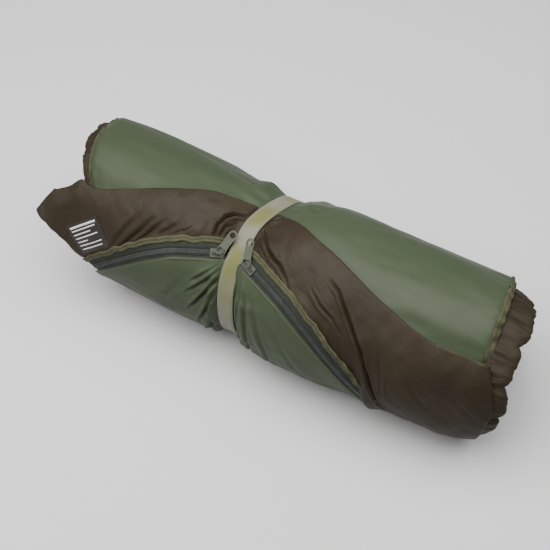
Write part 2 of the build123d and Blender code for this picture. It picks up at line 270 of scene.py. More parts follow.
class ZipPath:
    """Frames along one side of the zip, from under the strap to its end."""

    def __init__(self, side):
        near_x, near_r, far_x, far_r = RUNS[side]
        way = math.copysign(1, near_x)
        near = straight(near_x, zip_angle(near_x), near_r)
        far = straight(far_x, zip_angle(far_x), far_r)
        run = unit(far - near)
        flat = outward((zip_angle(near_x) + zip_angle(far_x)) / 2)
        flat = unit(flat - run * (flat @ run))
        self.near, self.run, self.length = near, run, np.linalg.norm(far - near)
        # it begins that many steps under the strap and runs straight through the slider
        step, tucked = 1.0 * MM, 9
        tuck = [near - run * d * MM - flat * 0.05 * d * d * MM for d in np.arange(tucked, 0, -1.0)]
        line = tuck + [near + run * d for d in np.arange(0, self.length, step)]
        # then it settles down to the roll's own curve
        bend_x = way * np.arange(abs(far_x), ZIP_ENDS[side], 0.5)
        still_high = ramp(np.abs(bend_x), abs(far_x) + 60, abs(far_x))
        lift = ZIP_LIFT + (far_r - radius(far_x) - ZIP_LIFT) * still_high
        rest = place(bend_x, zip_angle(bend_x), radius(bend_x) + lift, floor=3.0)
        steps = lengths_along(rest)
        line += list(points_at(np.arange(0, steps[-1], step), steps, rest))
        # beyond the straight run its corners are rounded
        points = np.array(line)
        softened = stack(*(rounded(column, 5) for column in points.T))
        s = np.arange(len(points)) * step - tucked * step
        keep = ramp(s, self.length - 3 * MM, self.length + 8 * MM)[:, None]
        self.points = points * (1 - keep) + softened * keep
        self.s = s
        self.tangent = unit(np.gradient(self.points, axis=0))
        turn = ramp(s, self.length - 4 * MM, self.length + 30 * MM)[:, None]
        around = outward(polar(self.points)[1])
        normal = flat * (1 - turn) + around * turn
        self.normal = unit(normal - self.tangent * (normal * self.tangent).sum(-1, keepdims=True))
        self.slope = np.cross(self.normal, self.tangent) * way

    def at(self, distance, up, height):
        """Points that far along from the near end, up the slope and off the roll, all in metres."""
        i = np.clip(np.interp(distance, self.s, np.arange(len(self.s))), 0, len(self.s) - 1)
        low = np.floor(i).astype(int)
        high = np.minimum(low + 1, len(self.s) - 1)
        t = (i - low)[..., None]
        mixed = [m[low] * (1 - t) + m[high] * t for m in (self.points, self.slope, self.normal)]
        return mixed[0] + mixed[1] * np.asarray(up)[..., None] + mixed[2] * np.asarray(height)[..., None]


zips = {side: ZipPath(side) for side in RUNS}


def zip_line(up, height):
    """(x, angle, radius) of a line beside the zip, over both sides of the strap."""
    left, right = (stack(*polar(path.at(path.s, up * MM, height * MM))) for path in zips.values())
    line = np.concatenate([left[::-1], right])
    rising = np.maximum.accumulate(line[:, 0])
    kept = np.concatenate([[True], np.diff(rising) > 0.05])
    return line[kept]


def along_zip(x, up, height):
    """Angle and radius of that line at each x, carried on past the zip's ends."""
    line = zip_line(up, height)
    angle, r = np.interp(x, line[:, 0], line[:, 1]), np.interp(x, line[:, 0], line[:, 2])
    for end, way in ((line[0], -1), (line[-1], 1)):
        past = np.maximum((x - end[0]) * way, 0)
        angle = np.minimum(angle + past * 0.75, np.maximum(angle, LOWEST_ANGLE))
        r = np.where(past > 0, r + (radius(x) + 3 - r) * ramp(past, 0, 30), r)
    return angle, r


# ---- meshes
def add_object(name, data):
    obj = bpy.data.objects.new(name, data)
    bpy.context.scene.collection.objects.link(obj)
    return obj


def new_object(name, vertices, faces, material, uvs=None):
    mesh = bpy.data.meshes.new(name)
    mesh.from_pydata([tuple(v) for v in vertices], [], faces)
    mesh.validate()
    mesh.materials.append(material)
    if uvs is not None:
        layer = mesh.uv_layers.new(name="cloth")
        corner = np.zeros(len(mesh.loops), np.int32)
        mesh.loops.foreach_get("vertex_index", corner)
        layer.data.foreach_set("uv", np.asarray(uvs, np.float32)[corner].ravel())
    mesh.polygons.foreach_set("use_smooth", [True] * len(mesh.polygons))
    return add_object(name, mesh)


def grid_faces(rows, columns, wrap_rows=False, wrap_columns=False, start=0):
    i = np.arange(rows if wrap_rows else rows - 1)[:, None]
    j = np.arange(columns if wrap_columns else columns - 1)[None, :]
    i1, j1 = (i + 1) % rows, (j + 1) % columns
    corners = (i * columns + j, i * columns + j1, i1 * columns + j1, i1 * columns + j)
    return (stack(*corners).reshape(-1, 4) + start).tolist()


def tube_faces(count, size, start=0):
    """Faces of a swept solid of that many rings, capped at both ends."""
    last = start + (count - 1) * size
    caps = [list(range(start, start + size))[::-1], list(range(last, last + size))]
    return grid_faces(count, size, wrap_columns=True, start=start) + caps


def finish_piece(obj, slot, *nodes, body="roll"):
    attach(obj, body)
    if nodes:
        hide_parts(*nodes)
    return obj


def thicken(obj, thickness, offset=-1):
    made = obj.modifiers.new("Solidify", "SOLIDIFY")
    made.thickness, made.offset = thickness, offset


def cloth(name, points, uvs, material, thickness, wrap_rows=False, wrap_columns=False, flip=False, offset=-1):
    """A thin sheet from an array of points, rows by columns."""
    faces = grid_faces(*points.shape[:2], wrap_rows, wrap_columns)
    if flip:
        faces = [face[::-1] for face in faces]
    piece = new_object(name, points.reshape(-1, 3), faces, material, uvs.reshape(-1, 2))
    thicken(piece, thickness, offset)
    return piece


def closed_sweep(name, rings, material, uvs):
    """A solid swept through rings of points that closes on itself."""
    faces = grid_faces(*rings.shape[:2], wrap_rows=True, wrap_columns=True)
    return new_object(name, rings.reshape(-1, 3), faces, material, uvs.reshape(-1, 2))


def sweeps(name, parts, material):
    """One mesh from solids swept through (rings of points, cloth coordinates)."""
    vertices, faces, uvs = [], [], []
    for rings, uv in parts:
        faces += tube_faces(*rings.shape[:2], start=len(vertices))
        vertices += list(rings.reshape(-1, 3))
        uvs += list(uv.reshape(-1, 2))
    return new_object(name, vertices, faces, material, uvs)


def capsules(name, starts, ends, sides, w, h, material, rounds=3, around=8):
    """Small rounded bars in one mesh, each with a start, an end and a sideways direction.

    w and h are their half sizes.
    """
    along = unit(ends - starts)
    across = unit(sides - along * (sides * along).sum(1, keepdims=True))
    up = np.cross(along, across)
    tips = np.linspace(-math.pi / 2, math.pi / 2, 2 * rounds)
    phi = np.linspace(0, 2 * math.pi, around, endpoint=False)
    vertices, faces = [], []
    for start, end, a, b, c in zip(starts, ends, along, across, up):
        faces += tube_faces(len(tips), around, start=len(vertices))
        outline = np.cos(phi)[:, None] * b * w + np.sin(phi)[:, None] * c * h
        for t in tips:
            near_tip = a * max(w, h) * (1 - abs(math.sin(t)))
            middle = start + near_tip if t < 0 else end - near_tip
            vertices += list(middle + max(math.cos(t), 0.12) * outline)
    return new_object(name, vertices, faces, material)


# ---- materials
def linear(red, green, blue):
    return [((c / 255 + 0.055) / 1.055) ** 2.4 for c in (red, green, blue)] + [1.0]


class Shader:
    """A Principled material and short calls for its nodes."""

    def __init__(self, name, rough, shine=0.5, **inputs):
        self.material = bpy.data.materials.new(name)
        self.material.use_nodes = True
        self.nodes, self.links = self.material.node_tree.nodes, self.material.node_tree.links
        self.bsdf = self.nodes["Principled BSDF"]
        inputs = {"Roughness": rough, "Specular IOR Level": shine, **inputs}
        for key, value in inputs.items():
            self.bsdf.inputs[key].default_value = value

    def node(self, kind, inputs, **settings):
        made = self.nodes.new("ShaderNode" + kind)
        for key, value in settings.items():
            setattr(made, key, value)
        for key, value in inputs.items():
            if isinstance(value, bpy.types.NodeSocket):
                self.links.new(value, made.inputs[key])
            else:
                made.inputs[key].default_value = value
        return made

    def coordinates(self, kind):
        return self.node("TexCoord", {}).outputs[kind]

    def split(self, vector):
        """A vector's first two parts."""
        return self.node("SeparateXYZ", {"Vector": vector}).outputs[:2]

    def noise(self, vector, scale, detail=3.0, roughness=0.5):
        inputs = {"Vector": vector, "Scale": scale, "Detail": detail, "Roughness": roughness}
        return self.node("TexNoise", inputs).outputs["Fac"]

    def remap(self, value, low, high, to_low=0.0, to_high=1.0):
        inputs = {"Value": value, "From Min": low, "From Max": high, "To Min": to_low, "To Max": to_high}
        return self.node("MapRange", inputs).outputs["Result"]

    def math(self, operation, a, b=0.0):
        return self.node("Math", {0: a, 1: b}, operation=operation).outputs[0]

    def times(self, a, b):
        return self.math("MULTIPLY", a, b)

    def wave(self, value, length):
        return self.math("SINE", self.times(value, 2 * math.pi / length))

    def mix(self, factor, a, b, blend="MIX"):
        return self.node("Mix", {0: factor, 6: a, 7: b}, data_type="RGBA", blend_type=blend).outputs[2]

    def shaded(self, colour, grey):
        level = self.node("CombineColor", {0: grey, 1: grey, 2: grey}).outputs[0]
        return self.mix(1.0, colour, level, "MULTIPLY")

    def bump(self, height, strength, distance, **base):
        inputs = {"Height": height, "Strength": strength, "Distance": distance, **base}
        return self.node("Bump", inputs).outputs["Normal"]

    def finish(self, **sockets):
        for key, socket in sockets.items():
            self.links.new(socket, self.bsdf.inputs[key.replace("_", " ")])
        return self.material


def woven(name, light, dark, thread, mottle, weave_bump, crumple, rough, shine):
    """A woven fabric: its colour drifts, its threads show close up, and it is finely crumpled."""
    shader = Shader(name, rough, shine)
    cloth_space, space = shader.coordinates("UV"), shader.coordinates("Object")
    drift = shader.remap(shader.noise(space, 1 / mottle, 4.0, 0.6), 0.32, 0.68)
    across, along = (shader.wave(part, 2 * thread) for part in shader.split(cloth_space))
    threads = shader.times(across, along)
    grain = shader.remap(shader.noise(cloth_space, 1 / (3.2 * thread), 2.0), 0.3, 0.7, 0.90, 1.08)
    colour = shader.shaded(shader.mix(drift, linear(*dark), linear(*light)), grain)
    uneven = shader.remap(shader.noise(space, 2.2 / mottle), 0.3, 0.7, rough - 0.05, rough + 0.06)
    fine = shader.bump(threads, weave_bump, 0.3 * thread)
    size, depth = crumple
    wrinkled = shader.bump(shader.noise(space, 1 / size, 4.0, 0.55), depth, size * 0.12, Normal=fine)
    return shader.finish(Base_Color=colour, Roughness=uneven, Normal=wrinkled)


def ribbed(name, light, dark, pitch, depth, rough, shine=0.5):
    """A narrow ribbed tape or webbing; its ribs lie across the cloth coordinates' first axis."""
    shader = Shader(name, rough, shine)
    cloth_space, space = shader.coordinates("UV"), shader.coordinates("Object")
    along, across = shader.split(cloth_space)
    wale = shader.wave(across, 0.8 * pitch)
    height = shader.math("ADD", shader.wave(along, pitch), shader.times(wale, 0.35))
    drift = shader.remap(shader.noise(space, 55, 4.0, 0.65), 0.3, 0.7)
    colour = shader.mix(drift, linear(*dark), linear(*light))
    # painted shade and light: the colour is darker in the grooves between the ribs and a little lighter on
    # their crests
    colour = shader.shaded(colour, shader.remap(height, -1.35, 1.35, 0.74, 1.1))
    fuzz = shader.bump(shader.noise(space, 1800, 2.0), 0.25, 0.0002)
    return shader.finish(Base_Color=colour, Normal=shader.bump(height, depth, 0.3 * pitch, Normal=fuzz))


def painted(name, light, dark, worn, rough, shine=0.5, **inputs):
    """Painted metal or plastic that is rubbed a little paler in places."""
    shader = Shader(name, rough, shine, **inputs)
    space = shader.coordinates("Object")
    drift = shader.remap(shader.noise(space, 160, 4.0, 0.6), 0.35, 0.65)
    colour = shader.mix(drift, linear(*dark), linear(*light))
    rubbed = shader.remap(shader.noise(space, 420, 5.0, 0.7), 0.60, 0.72)
    colour = shader.mix(shader.times(rubbed, 0.5), colour, linear(*worn))
    uneven = shader.remap(rubbed, 0, 1, rough, rough - 0.12)
    grain = shader.bump(shader.noise(space, 2600), 0.18, 0.0001)
    return shader.finish(Base_Color=colour, Roughness=uneven, Normal=grain)


GREEN = woven(
    "green_satin", (54, 62, 46), (48, 56, 40), thread=0.00045, mottle=0.30, weave_bump=0.12,
    crumple=(0.030, 0.06), rough=0.50, shine=0.12,
)
BROWN = woven(
    "brown_microfibre", (41, 34, 24), (33, 27, 18), thread=0.00055, mottle=0.12, weave_bump=0.20,
    crumple=(0.008, 0.14), rough=0.55, shine=0.12,
)
LABEL = woven(
    "label_satin", (33, 28, 24), (27, 23, 19), thread=0.0003, mottle=0.03, weave_bump=0.12,
    crumple=(0.02, 0.06), rough=0.5, shine=0.3,
)
BINDING = ribbed(
    "olive_grosgrain", (71, 70, 50), (54, 54, 37), pitch=0.0016, depth=0.55, rough=0.85, shine=0.2,
)
TAPE = ribbed("zip_tape_weave", (41, 45, 38), (31, 35, 30), pitch=0.0011, depth=0.35, rough=0.8, shine=0.15)
THREAD = ribbed("olive_thread", (92, 95, 72), (74, 77, 56), pitch=0.0006, depth=0.4, rough=0.8)
COIL = painted("zip_coil_nylon", (40, 43, 39), (29, 32, 29), (66, 69, 61), rough=0.38)
SLIDER = painted("olive_enamel", (50, 54, 40), (41, 45, 33), (70, 73, 60), rough=0.48, shine=0.35)
PULL = painted("olive_enamel_pull", (53, 58, 42), (44, 48, 35), (74, 77, 64), rough=0.46, shine=0.35)
SPRING = painted("spring_steel", (150, 150, 146), (120, 120, 118), (180, 180, 176), rough=0.3, Metallic=1.0)
PRINT = painted("label_print", (190, 188, 183), (174, 172, 167), (142, 138, 133), rough=0.8)


def elastic():
    """Woven elastic: pale ribs, with an olive cast along the middle of its upper front."""
    shader = Shader("elastic_webbing", 0.72, **{"Sheen Weight": 0.1, "Sheen Roughness": 0.4})
    cloth_space = shader.coordinates("UV")
    along, across = shader.split(cloth_space)
    stretched = shader.node("Mapping", {"Vector": cloth_space, "Scale": (14, 12, 1)}).outputs["Vector"]
    turns = shader.math("ADD", shader.times(along, 2 * math.pi / 0.076), -4.1)
    cast = shader.times(shader.math("SINE", turns), 0.20)
    cast = shader.remap(shader.math("ADD", cast, shader.noise(stretched, 1.0, 2.0)), 0.30, 0.58)
    middle = shader.remap(shader.math("ABSOLUTE", across), 0.006, 0.0125, 1.0, 0.2)
    front = shader.remap(along, 0.115, 0.14, 1.0, 0.25)
    cast = shader.times(shader.times(cast, middle), front)
    colour = shader.mix(cast, linear(97, 96, 81), linear(84, 84, 40))
    cord = shader.math("ABSOLUTE", shader.wave(across, 0.0034))
    height = shader.math("ADD", shader.times(shader.wave(along, 0.0013), 0.45), cord)
    # painted shade and light: the colour is darker between the ribs and cords and a little lighter on their
    # crests
    colour = shader.shaded(colour, shader.remap(height, -0.4, 1.4, 0.80, 1.06))
    return shader.finish(Base_Color=colour, Normal=shader.bump(height, 0.5, 0.0004))


ELASTIC = elastic()


# ---- green outer winding
FLAP_EAR, FLAP_EAR_AT = 5.5, -256.0  # degrees that the flap's top edge stands up there


def flap_top(x):
    """The angle of the flap's top edge, which rises to an ear at its left end and levels off on the right."""
    left = -15.0 + 0.155 * np.abs(x) + 0.00027 * x * x
    left = left + 5.0 * np.exp(-np.abs(x) / 50) - 6.5 * ramp(-x, 188, 266)
    left = left - FLAP_EAR * hill(x, FLAP_EAR_AT, 10)
    slope, level, soft = -15.0 + 0.19 * x + 5.0 * (1 - ramp(x, 0, 14)), 38.0, 4.0
    right = level - soft * np.logaddexp(0, (level - slope) / soft)
    return np.where(x < 0, left, right)


# (angle, how far the green winding's side edge stands there from its mean place, along the roll)
END_SHIFTS = {
    "left": ring([
        (-150, -8), (-100, -20), (-56, -27), (-12, -13), (12, 1), (30, 19), (45, 38), (70, 54), (125, 54),
        (155, 14),
    ], 6),
    "right": ring([
        (-150, -20), (-54, -20), (-21, -13), (3, -9), (30, -5), (90, -5), (140, -10), (170, -18),
    ], 6),
}


def edge_shift(angle, side):
    return on_ring(angle, END_SHIFTS[side])


def end_wave(angle, seed, size, counts=(3, 5, 8, 13, 19)):
    """An uneven wave round the roll of about that size."""
    a = np.radians(angle)
    rng = np.random.default_rng(seed)
    total = sum(rng.uniform(0.4, 1.0) * np.sin(k * a + rng.uniform(0, 6.28)) for k in counts)
    return size * total / math.sqrt(len(counts))


RUFFLE = (11, 17, 24, 31, 41)


def ruffle(angle, side):
    """The wave that the binding's gathering puts into a side edge, in millimetres."""
    return end_wave(angle, 104 if side == "left" else 105, 0.9 if side == "left" else 1.5, RUFFLE)


def wrap_height(x, angle):
    """The green winding's height over the plain profile; the flap covers it below the flap's top edge."""
    covered = ramp(angle, flap_top(x) + 2, flap_top(x) + 14) * ramp(angle, 150, 138)
    open_side = 1 - covered
    beside = waist(x, angle)
    away = np.abs(beside)
    # the strap draws it up into bulges on the open top
    h = open_side * 5.0 * (1 - ramp(away, 13, 34))
    h += hill(angle, -62, 58) * (7.5 * ramp(-x, 30, 130) + 2.5 * ramp(x, 20, 90)) * open_side
    bulges = 8 * hill(beside, -38, 16) + 6 * hill(beside, 40, 18)
    h += open_side * hill(angle, -62, 50) * bulges * ramp(away, 13, 24)
    # the cloth dips into a pocket where the flap's top edge lies on it, towards both ends
    edge_in = angle - flap_top(x)
    pocket = 6.0 * ramp(-x, 110, 220) + 9.0 * ramp(x, 150, 300)
    h -= hill(edge_in, 0, 11) * pocket * ramp(edge_in, 14, 4)
    h += open_side * gathers(x, angle, 3, 1.9)
    # wide soft wrinkles with fine ones over them
    h += open_side * ramp(away, 30, 90) * 0.9 * wrinkles(x, angle, 95, 11, 2.2)
    h += open_side * ramp(away, 16, 60) * 0.25 * wrinkles(x, angle, 26, 12, 2.5)
    h += open_side * creases(beside, angle, WRAP_FOLDS) * ramp(away, 14, 26)
    # the side bindings pull it in and pucker it
    for side, (way, edge) in ENDS.items():
        inside = np.maximum((edge - x) * way, 0)
        h -= 8 * (1 - ramp(inside, -2, 15)) ** 2
        pucker = np.exp(-inside / (7 if side == "left" else 14)) * (1 - 0.5 * np.exp(-inside / 3))
        h += pucker * (ruffle(angle, side) + end_wave(angle, 24 if side == "left" else 26, 0.8, RUFFLE))
    return h


WRAP_FOLDS = [
    ([(-14, -62), (-26, -52), (-44, -47)], 2.6, 3.5),
    ([(-14, -38), (-30, -34), (-60, -33)], 3.0, 2.2),
    ([(15, -30), (34, -30), (70, -24)], 3.0, 2.0),
    ([(15, -52), (32, -60), (62, -66)], 3.0, 2.4),
    ([(-15, -95), (-34, -92), (-66, -98)], 3.0, 2.6),
    ([(15, -110), (36, -104), (80, -100)], 3.5, 2.8),
    ([(-15, -140), (-40, -136), (-80, -142)], 3.0, 2.4),
]


def spread(low, high, count, tight):
    """Positions from low to high, closer together near zero."""
    t = np.linspace(-1, 1, count)
    t = (1 - tight) * t + tight * t**3
    return np.where(t < 0, -t * low, t * high)


def outer_winding():
    x = spread(LEFT_EDGE, RIGHT_EDGE, 190, 0.25)
    angle = np.linspace(-180, 180, 260, endpoint=False)
    X, A = np.meshgrid(x, angle, indexing="ij")
    left = edge_shift(A, "left") * ramp(-X, 130, -LEFT_EDGE)
    right = edge_shift(A, "right") * ramp(X, 270, RIGHT_EDGE)
    shift = np.where(X < 0, left, right)
    wavy = end_wave(A, 106, 1.3, RUFFLE) * ramp(X, RIGHT_EDGE - 12, RIGHT_EDGE)
    points = place(X + shift + wavy, A, radius(waist(X, A)) + wrap_height(X, A), floor=3.0)
    piece = cloth("base_panel_outer_cloth", points, cloth_uvs(X, A), GREEN, 0.8 * MM, wrap_columns=True)
    finish_piece(piece, "base_fabric", "base_panel_outer_winding")


# ---- brown flap
FLAP_FOLDS = [
    # the arch beside the left slider, with smaller folds inside it
    ([(-32, 36), (-39, 27), (-41, 18), (-37, 10), (-28, 5), (-13, 2)], 2.3, 7.0),
    ([(-27, 33), (-32, 25), (-30, 16), (-21, 10)], 1.8, 3.8),
    ([(-23, 28), (-25, 21), (-19, 15)], 1.5, 2.6),
    ([(-46, 37), (-54, 28), (-57, 17)], 2.0, 1.8),
    # soft diagonals on the left
    ([(-186, 74), (-172, 56), (-150, 34)], 3.4, 3.4),
    ([(-176, 72), (-156, 56), (-128, 32)], 2.6, 3.6),
    ([(-164, 66), (-146, 54), (-134, 46)], 1.8, 2.2),
    ([(-152, 61), (-128, 44), (-112, 30)], 2.4, 2.8),
    ([(-136, 56), (-122, 47), (-112, 43)], 1.6, 1.8),
    ([(-120, 52), (-108, 38), (-92, 28)], 1.9, 2.4),
    ([(-101, 45), (-92, 36), (-78, 30)], 1.6, 1.8),
    ([(-84, 41), (-80, 32), (-70, 26)], 1.5, 1.6),
    # beside the strap on the right
    ([(14, 5), (28, 13.5), (38, 20), (53, 25), (65, 27), (80, 33), (94, 40)], 2.2, 4.2),
    ([(14, -2), (24, -4), (34, -8)], 2.4, 2.4),
    ([(18, 26), (27, 24), (36, 29)], 1.8, 2.2),
    ([(22, 30), (36, 26), (58, 22)], 2.4, 1.6),
    ([(30, 30), (42, 34), (60, 34)], 2.0, 1.4),
    # the long sharp crease on the right
    ([(138, 24), (155, 28), (174, 38), (191, 47), (211, 58), (227, 71), (245, 89), (262, 104)], 2.0, 6.0),
    ([(119, 33), (139, 40), (161, 45), (176, 52)], 1.8, 2.4),
    ([(70, 32), (92, 44), (112, 56)], 2.0, 1.8),
    ([(56, 40), (74, 52), (88, 62)], 1.8, 1.4),
    ([(232, 52), (246, 70), (252, 84)], 2.2, 1.8),
    ([(244, 66), (256, 72), (262, 84)], 1.6, 1.4),
    ([(262, 58), (290, 70), (316, 84)], 3.0, 1.3),
    ([(300, 60), (340, 66), (372, 76)], 3.2, 1.2),
]
label_low, label_high = (np.array(corner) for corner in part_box("care_label"))
LABEL_X, LABEL_ANGLE, _ = polar((label_low + label_high) / 2)
UNDER_LABEL = 2.6  # the flap is flatter where the label lies on it, and about this high


def flap_height(x, angle):
    """Outside of the padded flap over the plain profile."""
    away = np.abs(waist(x, angle))
    inside = angle - flap_top(x)
    h = 4.0 + 3.4 * ramp(away, 16, 55)
    h += 3.0 * ramp(away, 34, 18) * ramp(away, 12.5, 18) * ramp(inside, 16, 6)
    h += 8.0 * ramp(-x, 175, 285) * ramp(inside, -8, 14) * ramp(angle, 135, 85)
    h += 2.0 * ramp(x, 120, 300) * ramp(angle, 150, 90)
    h += ramp(away, 20, 80) * (1.4 * wrinkles(x, angle, 85, 31) + 0.28 * wrinkles(x, angle, 30, 32))
    h += ramp(away, 18, 60) * 0.10 * wrinkles(x, angle, 11, 34)
    h += gathers(x, angle, 33, 1.5) * ramp(inside, 0, 10)
    h += creases(x, angle, FLAP_FOLDS) * ramp(away, 13, 18)
    # the right pull passes over here when its slider travels
    h -= 2.0 * hill(x, 61, 17) * hill(angle, 27, 9)
    from_label = np.hypot(x - LABEL_X, girth(angle) - girth(LABEL_ANGLE))
    near_label = np.exp(-((from_label / 46) ** 4))
    h = h * (1 - near_label) + (UNDER_LABEL + 0.25 * h) * near_label
    # both ends are turned in over the filling
    return h - 7 * ramp(x, 352, 392) ** 2 - 5 * ramp(-x, 284, 312) ** 2 * ramp(angle, 75, 95)


FLAP_LEFT = [(0, -289), (0.14, -313), (0.25, -290), (0.4, -272), (0.58, -257), (0.8, -237), (1, -218)]
FLAP_RIGHT = [(0, 366), (0.11, 378), (0.28, 391), (0.5, 387), (0.75, 380), (1, 364)]
END_HEM, TOP_HEM = 4.2, 1.7
FLAP_WAVER = 0.35  # degrees that its top edge wanders up and down


def rolled_under(x, angle, r, way_x, way_round, hem, backs, sink):
    """Lines of a hem that turns under the edge (x, angle, r) and lies back beneath the cloth."""
    lines = []
    for turn in np.linspace(0, math.pi, 8)[1:]:
        out, down = hem * math.sin(turn), hem * (1 - math.cos(turn))
        lines.append((x + way_x * out, angle + np.degrees(way_round * out / LAYER_R), r - down))
    for back in backs:
        round_back = np.degrees(way_round * back / LAYER_R)
        lines.append((x - way_x * back, angle - round_back, r - 2 * hem - sink * back))
    return lines


def flap_edge(x):
    return flap_top(x) + FLAP_WAVER * ripples(x, 0, 70, 35) * ramp(np.abs(x), 20, 60)


def flap_grid():
    """(x, angle, radius) over the flap, with its top edge and both ends rolled under."""
    rows, columns = 125, 330
    u = np.linspace(0, 1, columns)
    middle = 0.42  # the strap's place between the flap's ends
    u = u - 0.07 * np.sin(2 * math.pi * (u - middle))
    u = (u - u[0]) / (u[-1] - u[0])
    T, U = np.meshgrid(np.linspace(0, 1, rows), u, indexing="ij")
    left, right = (
        np.repeat(rounded(np.interp(T, *zip(*side))[:, 0], 1.2)[:, None], columns, axis=1)
        for side in (FLAP_LEFT, FLAP_RIGHT)
    )
    X = left + (right - left) * U
    # its lower edge is tucked under the zip's binding
    low_angle, low_r = along_zip(X, TAPE_EDGE - 1.0, -0.5)
    # past the zip's right end the flap lies over the lap
    over_angle, over_r = along_zip(X, -12.0, 3.0)
    over = ramp(X, 219, 239)
    low_angle, low_r = low_angle + (over_angle - low_angle) * over, low_r + (over_r - low_r) * over
    top = flap_edge(X)
    A = top + (low_angle - top) * T
    seam = girth(low_angle - A)
    R = low_r + (radius(waist(X, A)) + flap_height(X, A) - low_r) * ramp(seam, -2, 20)
    R = R + 3.2 * hill(X, ZIP_ENDS["right"] - 2, 12) * ramp(seam, 60, 36)
    hem = rolled_under(X[0], A[0], R[0], 0, -1, TOP_HEM, (4, 9, 15), 0.02)[::-1]
    X, A, R = (np.concatenate([[line[i] for line in hem], m]) for i, m in enumerate((X, A, R)))
    ends = [
        rolled_under(X[:, at], A[:, at], R[:, at], way, 0, END_HEM, (5, 12), 0.05)
        for at, way in ((0, -1), (-1, 1))
    ]
    return [
        np.column_stack([*(line[i] for line in ends[0][::-1]), m, *(line[i] for line in ends[1])])
        for i, m in enumerate((X, A, R))
    ]


def flap():
    X, A, R = flap_grid()
    piece = cloth("top_panel_flap_cloth", place(X, A, R, floor=1.6), cloth_uvs(X, A), BROWN, 0.6 * MM)
    finish_piece(piece, "top_fabric", "top_panel_flap")
    # a narrow tape shows along the top edge, on the left ear and towards the right end
    parts = []
    section = [(-1.3, -0.4), (-1.3, 0.5), (0.6, 1.9), (1.5, 1.7), (1.5, 0.6), (0.3, -0.6)]
    round_it, off = np.array(section).T
    for low, high in ((FLAP_EAR_AT - 2, FLAP_EAR_AT + 18), (298, 364)):
        x = np.arange(low, high, 1.5)[:, None]
        a = flap_edge(x) - 0.5
        R = radius(x) + flap_height(x, a) - 1.2 + off
        parts.append((place(x, a + np.degrees(round_it / LAYER_R), R), stack(x, R) * MM))
    finish_piece(sweeps("top_panel_flap_edge_tape", parts, BINDING), "binding_tape", "top_panel_flap")


# ---- green lap below the zip
LAP_FOLDS = [
    ([(-13, 38), (-24, 48), (-48, 62)], 2.0, 6.5),
    ([(-13, 44), (-28, 58), (-52, 72)], 2.2, 5.6),
    ([(-13, 54), (-26, 68), (-48, 88)], 2.2, 6.2),
    ([(-13, 66), (-22, 84), (-36, 104)], 2.2, 5.0),
    ([(-13, 92), (-18, 108), (-27, 124)], 3.2, 7.0),
    ([(-60, 62), (-84, 84), (-120, 104)], 5.0, 1.4),
    ([(18, 40), (25, 60), (27, 84), (22, 112)], 2.4, 4.2),
    ([(24, 42), (38, 64), (46, 92), (48, 126)], 2.8, 3.6),
    ([(28, 44), (54, 66), (76, 92), (88, 124)], 3.4, 3.0),
    ([(14, 50), (17, 72), (15, 100)], 1.8, 3.0),
    ([(70, 62), (110, 84), (150, 112)], 4.0, 1.4),
]


def lap_height(x, angle):
    away = np.abs(waist(x, angle))
    h = 4.0 + 8.0 * ramp(away, 12.5, 24) * np.exp(-np.maximum(away - 24, 0) / 26)
    wavy = 0.9 * wrinkles(x, angle, 80, 41, 1.5) + 0.25 * wrinkles(x, angle, 28, 42, 2.0)
    h += ramp(away, 30, 90) * wavy
    h += gathers(x, angle, 43, 1.4)
    return h + creases(x, angle, LAP_FOLDS) * ramp(away, 12.5, 16)


def lap_radius(x, angle, top_angle, top_r):
    """Outside of the lap, which falls from the zip's height to the plain profile."""
    away = girth(angle - top_angle)
    return top_r + (radius(waist(x, angle)) + lap_height(x, angle) - top_r) * ramp(away, 1, 45)


LAP_BOTTOM = 163.0
LAP_EDGE = -8.4, 1.1  # up the zip's slope and off the roll


def lap():
    rows, columns = 120, 360
    x = np.linspace(-1, 1, columns)
    x = np.where(x < 0, ZIP_ENDS["left"] + 3, ZIP_ENDS["right"] + 26) * (0.55 * x + 0.45 * x**3)
    T, X = np.meshgrid(np.linspace(0, 1, rows), x, indexing="ij")
    top_angle, top_r = along_zip(X, *LAP_EDGE)
    A = top_angle + (LAP_BOTTOM - top_angle) * T
    R = lap_radius(X, A, top_angle, top_r)
    # the edge turns in under itself
    lips = [(-12.0, 0.15), (-8.0, 0.15), (-7.7, 0.5), (-7.9, 0.9)]
    rolled = [(X[0], *along_zip(X[0], up, height)) for up, height in lips]
    X, A, R = (np.concatenate([[line[i] for line in rolled], m]) for i, m in enumerate((X, A, R)))
    points = place(X, A, R, floor=1.2)
    piece = cloth("base_panel_lap_cloth", points, cloth_uvs(X, A), GREEN, 0.6 * MM, flip=True)
    finish_piece(piece, "base_fabric", "base_panel_lap")


def lap_topstitch(side):
    """The row of stitches that holds the zip's lower tape under the lap's edge."""
    x = ENDS[side][0] * np.arange(17.0, ZIP_ENDS[side] - 2)
    top_angle, top_r = along_zip(x, *LAP_EDGE)
    angle, _ = along_zip(x, LAP_EDGE[0] - 2.2, LAP_EDGE[1])
    line = place(x, angle, lap_radius(x, angle, top_angle, top_r) + 0.25)
    stitch_row(f"lap_topstitch_{side}", line, outward(angle), 3.2 * MM, 2.3 * MM, 0.28 * MM)


# ---- zip
def strip(path, start, end, outline):
    """Rings for a tape along the zip; outline lists (up the slope, off the roll) in millimetres."""
    s = np.arange(start, end, 1.5 * MM)[:, None]
    up, height = (np.array(outline) * MM).T
    return path.at(s, up, height), stack(s, up + height)


def bar(up, width, low, high, corner=0.25, crown=0.0):
    """A flat strip's section: its middle, its width and the heights of its faces, with eased corners."""
    half = width / 2
    top = [(up + half * c, high + crown * (1 - c * c)) for c in (0.6, 0.0, -0.6)]
    return [
        (up - half, low + corner), (up - half + corner, low),
        (up + half - corner, low), (up + half, low + corner),
        (up + half, high - corner), (up + half - corner, high), *top,
        (up - half + corner, high), (up - half, high - corner),
    ]


